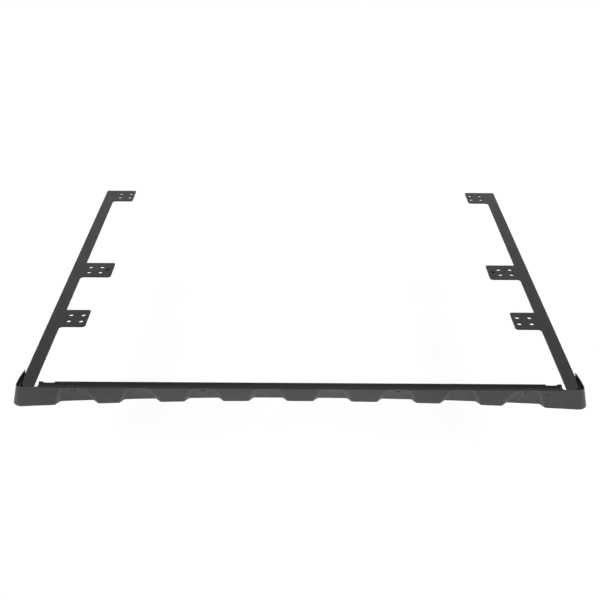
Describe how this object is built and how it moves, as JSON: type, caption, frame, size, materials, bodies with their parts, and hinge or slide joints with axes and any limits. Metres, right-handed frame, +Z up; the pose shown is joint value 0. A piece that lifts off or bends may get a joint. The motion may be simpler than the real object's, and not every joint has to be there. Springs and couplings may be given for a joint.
{
  "type": "ladder rack",
  "caption": "Low ladder rack of flat side rails with bolt-down tabs, closed at the front by a pressed sheet wind fairing with pockets, a top flange and side wings.",
  "frame": {"origin": "middle of the rack's four outermost mounting holes, at the underside of the side rails", "axes": "+X across the vehicle to its right side, +Y to its rear, +Z up"},
  "size_m": [1.38, 1.19, 0.091],
  "materials": {
    "black_coat": "textured black powder coat",
    "black_steel": "black oxide",
    "zinc_steel": "zinc plated"
  },
  "bodies": {
    "root": {"left_side_rail": "black_coat", "right_side_rail": "black_coat", "wind_fairing": "black_coat", "fairing_brace": "black_coat", "left_corner_bracket": "black_coat", "right_corner_bracket": "black_coat", "corner_rivets": "black_coat", "fairing_bolts": "black_steel", "fairing_washers": "zinc_steel", "fairing_nuts": "zinc_steel", "left_thread_insert": "black_steel", "right_thread_insert": "black_steel"}
  },
  "joints": []
}
